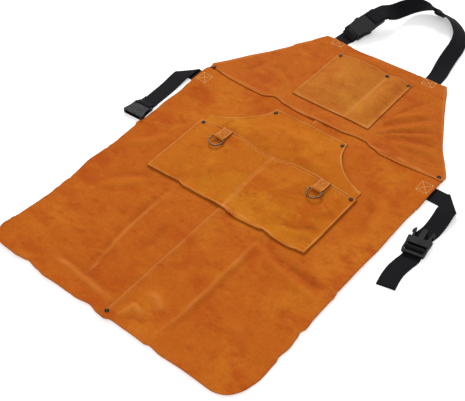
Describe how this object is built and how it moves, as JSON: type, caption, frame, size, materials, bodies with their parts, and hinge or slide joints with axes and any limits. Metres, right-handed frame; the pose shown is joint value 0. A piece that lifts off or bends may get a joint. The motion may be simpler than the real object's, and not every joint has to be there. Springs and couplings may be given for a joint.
{
  "type": "welding apron",
  "caption": "Full-length split-leather welding apron with chest, hand and lap pockets, tool loops with D-rings, and buckled neck and waist straps.",
  "frame": {"origin": "on the flat back of the skirt, on the apron's centreline, halfway between the hem and the bib's top edge", "axes": "+Y up the apron towards the neck, +X to the right as seen from the front, +Z out of the front"},
  "size_m": [0.7428, 1.1341, 0.0424],
  "materials": {
    "skirt_leather": "suede",
    "bib_leather": "suede",
    "chest_leather": "suede",
    "pocket_leather": "suede",
    "webbing": "woven",
    "buckle_plastic": "satin",
    "rivet_metal": "antique",
    "ring_metal": "antique"
  },
  "bodies": {
    "apron": {"skirt_left": "skirt_leather", "skirt_right": "skirt_leather", "bib": "bib_leather", "chest_pocket": "chest_leather", "hand_pocket": "pocket_leather", "lap_pocket": "pocket_leather", "rivet_hem": "rivet_metal", "rivet_waist_left": "rivet_metal", "rivet_waist_right": "rivet_metal", "rivet_hand_left": "rivet_metal", "rivet_hand_right": "rivet_metal", "rivet_lap_left": "rivet_metal", "rivet_lap_right": "rivet_metal", "rivet_chest_left": "rivet_metal", "rivet_chest_middle": "rivet_metal", "rivet_chest_right": "rivet_metal", "tool_loop_left": "pocket_leather", "tool_loop_right": "pocket_leather", "neck_strap_left": "webbing", "neck_strap_right": "webbing", "waist_strap_left": "webbing", "waist_strap_right": "webbing", "neck_socket": "buckle_plastic"},
    "ring_left": {"d_ring_left": "ring_metal"},
    "ring_right": {"d_ring_right": "ring_metal"},
    "neck_plug": {"neck_plug": "buckle_plastic"},
    "neck_arm_left": {"neck_arm_left": "buckle_plastic"},
    "neck_arm_right": {"neck_arm_right": "buckle_plastic"},
    "neck_slider": {"neck_slider": "buckle_plastic"},
    "waist_socket": {"waist_socket": "buckle_plastic"},
    "waist_plug": {"waist_plug": "buckle_plastic"},
    "waist_arm_left": {"waist_arm_left": "buckle_plastic"},
    "waist_arm_right": {"waist_arm_right": "buckle_plastic"}
  },
  "joints": [
    {"name": "ring_left_swing", "type": "hinge", "parent": "apron", "child": "ring_left", "pos_m": [-0.124, 0.019, 0.01969], "axis": [-1, 0, 0], "range_deg": [0, 150]},
    {"name": "ring_right_swing", "type": "hinge", "parent": "apron", "child": "ring_right", "pos_m": [0.128, 0.019, 0.01948], "axis": [-1, 0, 0], "range_deg": [0, 150]},
    {"name": "neck_buckle_release", "type": "slide", "parent": "apron", "child": "neck_plug", "axis": [0.3002, 0.9205, 0.2501], "range_m": [0, 0.032], "deforming": ["neck_strap_right", "neck_arm_left", "neck_arm_right"]},
    {"name": "neck_arm_left_squeeze", "type": "hinge", "parent": "neck_plug", "child": "neck_arm_left", "pos_m": [-0.11597, 0.51917, 0.02199], "axis": [0.0353, -0.2728, 0.9614], "range_deg": [0, 6], "stiffness_Nm_per_rad": 1},
    {"name": "neck_arm_right_squeeze", "type": "hinge", "parent": "neck_plug", "child": "neck_arm_right", "pos_m": [-0.08604, 0.51038, 0.0184], "axis": [-0.0353, 0.2728, -0.9614], "range_deg": [0, 6], "stiffness_Nm_per_rad": 1},
    {"name": "neck_slider_adjust", "type": "slide", "parent": "apron", "child": "neck_slider", "axis": [0.995, -0.0646, -0.0768], "range_m": [-0.008, 0.008], "deforming": ["neck_strap_right"]},
    {"name": "waist_plug_adjust", "type": "slide", "parent": "apron", "child": "waist_plug", "axis": [0.1736, -0.9848, 0], "range_m": [-0.02, 0.02], "deforming": ["waist_strap_right"]},
    {"name": "waist_arm_left_squeeze", "type": "hinge", "parent": "waist_plug", "child": "waist_arm_left", "pos_m": [0.34001, 0.03997, 0.00575], "axis": [0, 0, -1], "range_deg": [0, 6], "stiffness_Nm_per_rad": 1},
    {"name": "waist_arm_right_squeeze", "type": "hinge", "parent": "waist_plug", "child": "waist_arm_right", "pos_m": [0.37093, 0.04542, 0.00575], "axis": [0, 0, 1], "range_deg": [0, 6], "stiffness_Nm_per_rad": 1},
    {"name": "waist_socket_swing", "type": "hinge", "parent": "apron", "child": "waist_socket", "pos_m": [-0.33293, 0.0126, 0.0057], "axis": [-0.9996, -0.03, 0], "range_deg": [0, 90]}
  ],
  "couplings": [
    {"joint": "neck_arm_right_squeeze", "follows": "neck_arm_left_squeeze", "ratio": 1},
    {"joint": "waist_arm_right_squeeze", "follows": "waist_arm_left_squeeze", "ratio": 1}
  ]
}
